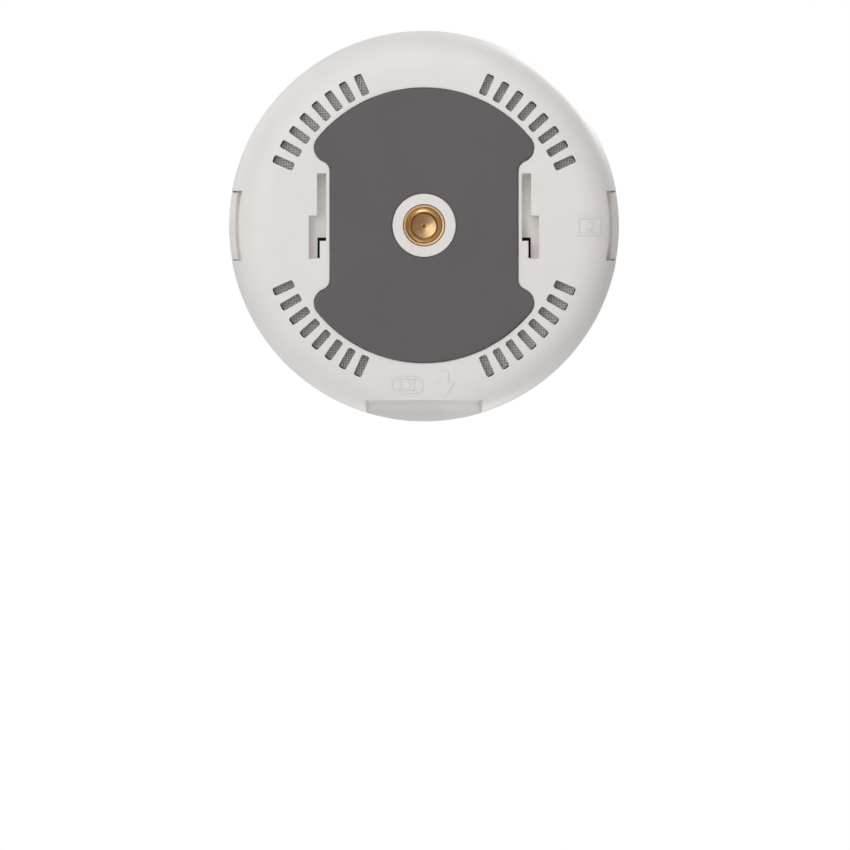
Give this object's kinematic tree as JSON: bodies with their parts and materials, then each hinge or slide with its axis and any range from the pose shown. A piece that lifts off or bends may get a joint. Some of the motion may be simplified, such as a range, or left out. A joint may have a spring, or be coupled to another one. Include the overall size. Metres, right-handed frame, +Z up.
{
  "type": "baby monitor camera",
  "caption": "Pan and tilt nursery camera: ball head in a forked turret on a round base with vents, non-slip pad, tripod insert and bracket slots.",
  "frame": {"origin": "centre of the non-slip pad's face, which is the plane the camera stands on", "axes": "+Z up through the pan axis, -Y the way the lens looks at rest, +Y the cable recess, +X the side of the pairing key"},
  "size_m": [0.074, 0.074, 0.0946],
  "materials": {
    "base_shell": "fine texture",
    "pad_rubber": "matte",
    "insert_brass": "turned",
    "plated_steel": "zinc plated",
    "screen_plastic": "moulded",
    "circuit_board": "solder resist",
    "tinned_can": "tinned",
    "black_epoxy": "moulded",
    "capacitor_can": "drawn",
    "tinned_strip": "tinned",
    "jack_steel": "drawn",
    "screw_steel": "zinc plated",
    "motor_steel": "plated",
    "glide_plastic": "slippery",
    "switch_black": "moulded",
    "key_plastic": "fine texture",
    "acetal": "acetal",
    "gear_plastic": "acetal",
    "clip_steel": "spring steel",
    "turret_shell": "fine texture",
    "cap_plastic": "satin",
    "trunnion_plastic": "glass filled",
    "pinion_brass": "cut",
    "head_shell": "fine texture",
    "face_window": "polished, dark",
    "trim_plastic": "satin black",
    "barrel_aluminium": "black anodised",
    "lens_glass": "coated",
    "carrier_plastic": "glass filled",
    "sensor_die": "glass lidded",
    "led_epoxy": "clear epoxy",
    "sensor_epoxy": "clear epoxy",
    "status_epoxy": "diffused epoxy",
    "mic_can": "drawn",
    "speaker_frame": "painted"
  },
  "bodies": {
    "base": {"base_bottom_cover": "base_shell", "base_housing": "base_shell", "non_slip_pad": "pad_rubber", "tripod_insert": "insert_brass", "ballast_plate": "plated_steel", "dust_screen": "screen_plastic", "main_board": "circuit_board", "radio_shield": "tinned_can", "board_chips": "black_epoxy", "supply_capacitor": "capacitor_can", "antenna": "tinned_strip", "power_jack": "jack_steel", "cover_screws": "screw_steel", "board_screws": "screw_steel", "pan_motor": "motor_steel", "pan_motor_screws": "screw_steel", "glide_ring": "glide_plastic", "pair_switch": "switch_black", "power_switch": "switch_black"},
    "pairing_button": {"pair_key": "key_plastic"},
    "power_button": {"power_key": "key_plastic"},
    "turret": {"turntable": "acetal", "turret_screws": "screw_steel", "pan_gear": "gear_plastic", "pan_clip": "clip_steel", "turret_shell": "turret_shell", "arm_cap_right": "cap_plastic", "arm_cap_left": "cap_plastic", "trunnion_right": "trunnion_plastic", "trunnion_left": "trunnion_plastic", "trunnion_screws": "screw_steel", "tilt_gear": "gear_plastic"},
    "pan_drive": {"pan_pinion": "pinion_brass"},
    "head": {"head_front_shell": "head_shell", "head_rear_shell": "head_shell", "face_plate": "face_window", "lens_trim": "trim_plastic", "lens_barrel": "barrel_aluminium", "front_lens": "lens_glass", "lens_carrier": "carrier_plastic", "sensor_board": "circuit_board", "image_sensor": "sensor_die", "sensor_screws": "screw_steel", "optics_screws": "screw_steel", "head_screws": "screw_steel", "led_board": "circuit_board", "infrared_leds": "led_epoxy", "light_sensor": "sensor_epoxy", "status_light": "status_epoxy", "microphone": "mic_can", "speaker": "speaker_frame", "tilt_bush_right": "glide_plastic", "tilt_bush_left": "glide_plastic", "tilt_motor": "motor_steel", "tilt_motor_screws": "screw_steel"},
    "tilt_drive": {"tilt_pinion": "pinion_brass"}
  },
  "joints": [
    {"name": "pan", "type": "hinge", "parent": "base", "child": "turret", "pos_m": [0, 0, 0.0266], "axis": [0, 0, 1], "range_deg": [-165, 165]},
    {"name": "pan_pinion_spin", "type": "hinge", "parent": "base", "child": "pan_drive", "pos_m": [0, -0.0225, 0.0187], "axis": [0, 0, 1], "range_deg": [-660, 660]},
    {"name": "tilt", "type": "hinge", "parent": "turret", "child": "head", "pos_m": [0, 0, 0.066], "axis": [-1, 0, 0], "range_deg": [-25, 80]},
    {"name": "tilt_pinion_spin", "type": "hinge", "parent": "head", "child": "tilt_drive", "pos_m": [0.0145, 0.00849, 0.07449], "axis": [-1, 0, 0], "range_deg": [-75, 240]},
    {"name": "pairing_press", "type": "slide", "parent": "base", "child": "pairing_button", "axis": [-1, 0, 0], "range_m": [0, 0.00025], "stiffness_N_per_m": 900, "springref_m": -0.0004},
    {"name": "power_press", "type": "slide", "parent": "base", "child": "power_button", "axis": [1, 0, 0], "range_m": [0, 0.00025], "stiffness_N_per_m": 900, "springref_m": -0.0004}
  ],
  "couplings": [
    {"joint": "pan_pinion_spin", "follows": "pan", "ratio": -4},
    {"joint": "tilt_pinion_spin", "follows": "tilt", "ratio": 3}
  ]
}
